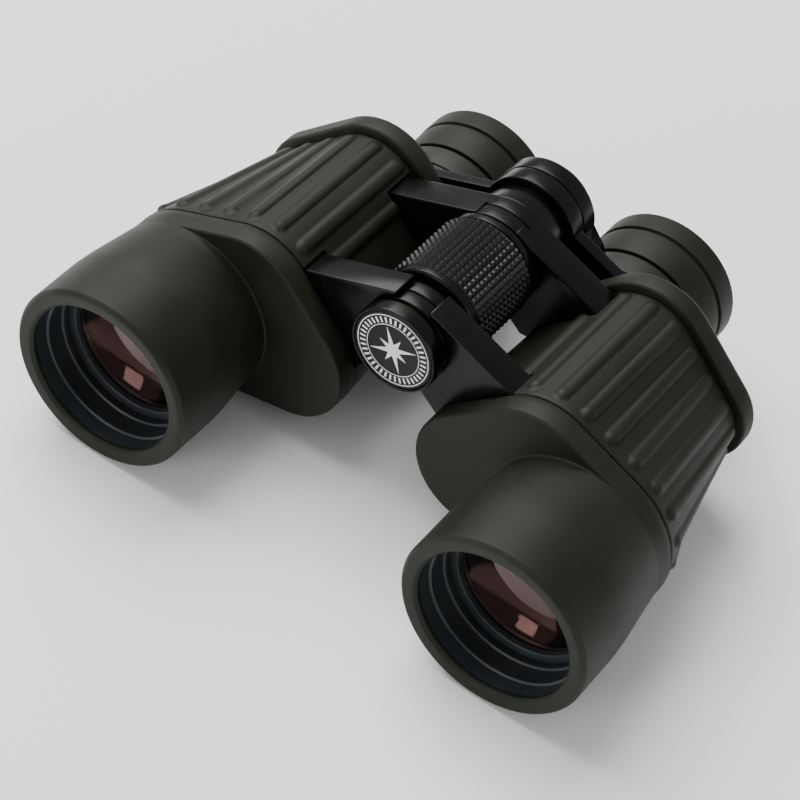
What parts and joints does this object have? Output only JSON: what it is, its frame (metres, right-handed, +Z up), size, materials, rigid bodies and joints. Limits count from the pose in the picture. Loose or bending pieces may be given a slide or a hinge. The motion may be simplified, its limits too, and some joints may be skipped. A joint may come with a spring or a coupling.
{
  "type": "binoculars",
  "caption": "Porro prism binoculars with ribbed rubber armour, centre focus wheel, hinged halves and dioptre ring",
  "frame": {"origin": "middle of the footprint, on the surface that the binoculars lie on", "axes": "+Y along the optical axes from objectives to eyecups, +Z up, +X to the right half seen from the objectives"},
  "size_m": [0.1782, 0.1372, 0.0661],
  "materials": {
    "armour_rubber": "satin moulded rubber",
    "black_paint": "satin black paint",
    "black_anodised": "black anodised",
    "grip_plastic": "moulded, satin",
    "bright_steel": "ground",
    "brass": "turned",
    "badge": "printed disc",
    "optical_glass": "polished",
    "coated_glass": "polished, reddish coating"
  },
  "bodies": {
    "left_half": {"left_prism_housing": "black_paint", "left_armour": "armour_rubber", "left_front_cover": "armour_rubber", "left_rear_cover": "armour_rubber", "left_prism_shelf": "black_anodised", "left_cover_screw_1": "black_anodised", "left_cover_screw_2": "black_anodised", "left_cover_screw_3": "black_anodised", "left_objective_tube": "black_anodised", "left_objective_lens": "coated_glass", "left_lens_ring": "black_anodised", "left_rear_prism": "optical_glass", "left_rear_prism_strap": "bright_steel", "left_front_prism": "optical_glass", "left_front_prism_strap": "bright_steel", "left_guide_tube": "black_anodised", "hinge_axle": "bright_steel", "end_knob": "black_paint", "badge_disc": "badge", "brass_washer": "brass", "axle_collar": "black_paint"},
    "right_half": {"right_prism_housing": "black_paint", "right_armour": "armour_rubber", "right_front_cover": "armour_rubber", "right_rear_cover": "armour_rubber", "right_prism_shelf": "black_anodised", "right_cover_screw_1": "black_anodised", "right_cover_screw_2": "black_anodised", "right_cover_screw_3": "black_anodised", "right_objective_tube": "black_anodised", "right_objective_lens": "coated_glass", "right_lens_ring": "black_anodised", "right_rear_prism": "optical_glass", "right_rear_prism_strap": "bright_steel", "right_front_prism": "optical_glass", "right_front_prism_strap": "bright_steel", "right_guide_tube": "black_anodised"},
    "focus_wheel": {"focus_wheel": "black_paint", "wheel_grip": "grip_plastic"},
    "focus_spindle": {"focus_spindle": "bright_steel", "drive_pin": "bright_steel", "hub_cap": "black_paint"},
    "left_ocular": {"left_bridge_arm": "black_paint", "left_ocular_sleeve": "black_anodised", "left_ocular_ring": "grip_plastic", "left_lens_cell": "black_anodised", "left_field_lens": "optical_glass", "left_eye_lens": "optical_glass", "left_eyecup": "armour_rubber"},
    "right_ocular": {"right_bridge_arm": "black_paint", "right_ocular_sleeve": "black_anodised"},
    "dioptre": {"dioptre_ring": "grip_plastic", "right_eyecup": "armour_rubber"},
    "right_lens_cell": {"right_lens_cell": "black_anodised", "right_field_lens": "optical_glass", "right_eye_lens": "optical_glass"}
  },
  "joints": [
    {"name": "interpupillary_fold", "type": "hinge", "parent": "left_half", "child": "right_half", "pos_m": [0, 0, 0.0513], "axis": [0, -1, 0], "range_deg": [-12, 32]},
    {"name": "focus_wheel_turn", "type": "hinge", "parent": "left_half", "child": "focus_wheel", "pos_m": [0, 0, 0.0513], "axis": [0, 1, 0], "range_deg": [0, 390]},
    {"name": "spindle_slide", "type": "slide", "parent": "left_half", "child": "focus_spindle", "axis": [0, 1, 0], "range_m": [0, 0.00655]},
    {"name": "left_ocular_slide", "type": "slide", "parent": "left_half", "child": "left_ocular", "axis": [0, 1, 0], "range_m": [0, 0.00655]},
    {"name": "right_ocular_slide", "type": "slide", "parent": "right_half", "child": "right_ocular", "axis": [0, 1, 0], "range_m": [0, 0.00655]},
    {"name": "dioptre_turn", "type": "hinge", "parent": "right_ocular", "child": "dioptre", "pos_m": [0.0306, 0.0464, 0.0273], "axis": [0, 1, 0], "range_deg": [-75, 75]},
    {"name": "right_lens_cell_slide", "type": "slide", "parent": "right_ocular", "child": "right_lens_cell", "axis": [0, 1, 0], "range_m": [-0.00121, 0.00121]}
  ],
  "couplings": [
    {"joint": "spindle_slide", "follows": "focus_wheel_turn", "m_per_rad": 0.00095493},
    {"joint": "left_ocular_slide", "follows": "focus_wheel_turn", "m_per_rad": 0.00095493},
    {"joint": "right_ocular_slide", "follows": "focus_wheel_turn", "m_per_rad": 0.00095493},
    {"joint": "right_lens_cell_slide", "follows": "dioptre_turn", "m_per_rad": 0.00091673}
  ]
}
